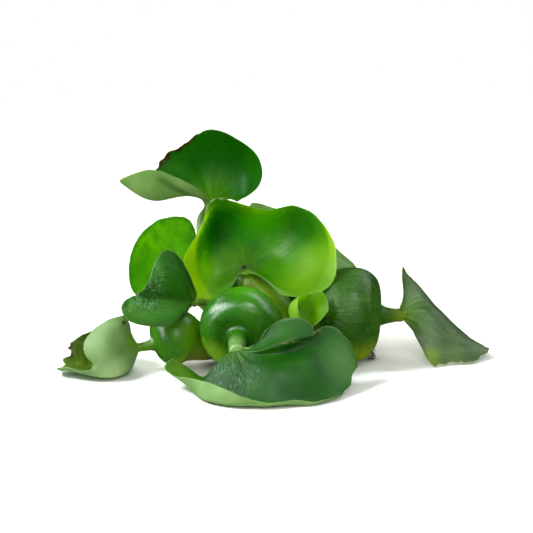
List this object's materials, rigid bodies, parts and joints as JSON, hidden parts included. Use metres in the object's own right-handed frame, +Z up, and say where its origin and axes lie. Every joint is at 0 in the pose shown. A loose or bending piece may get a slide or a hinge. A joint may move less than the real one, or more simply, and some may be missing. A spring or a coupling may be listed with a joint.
{
  "type": "water hyacinth",
  "caption": "Small floating pond plant out of water: broad cupped leaves on stalks, most of them swollen into round spongy floats, fanning out from a short crown.",
  "frame": {"origin": "middle of the crown's flat foot, on the surface that the plant rests on", "axes": "+X to the right and +Y away from the side that shows the large cupped leaf from inside, +Z up"},
  "size_m": [0.2139, 0.1522, 0.11],
  "materials": {
    "dark_leaf": "glossy waxy leaf, dark green with fine curved veins",
    "bright_leaf": "glossy leaf lit through, bright yellow-green with fine curved veins",
    "pale_leaf": "dull pale grey-green underside of a leaf",
    "float_green": "smooth glossy green float with fine lengthwise lines",
    "stalk_green": "smooth satin light green stalk",
    "crown_brown": "rough brown-green crown",
    "root_brown": "dull dark brown rootlets"
  },
  "bodies": {
    "root": {"crown": "crown_brown", "roots": "root_brown", "top_float": "float_green", "top_leaf": "dark_leaf", "centre_float": "stalk_green", "centre_leaf": "bright_leaf", "left_float": "float_green", "left_leaf": "pale_leaf", "front_float": "float_green", "front_leaf": "dark_leaf", "right_float": "float_green", "right_leaf": "pale_leaf", "back_float": "stalk_green", "back_leaf": "pale_leaf", "left_back_stalk": "stalk_green", "left_back_leaf": "bright_leaf", "saddle_stalk": "stalk_green", "saddle_leaf": "dark_leaf", "young_stalk": "stalk_green", "young_leaf": "bright_leaf"}
  },
  "joints": []
}
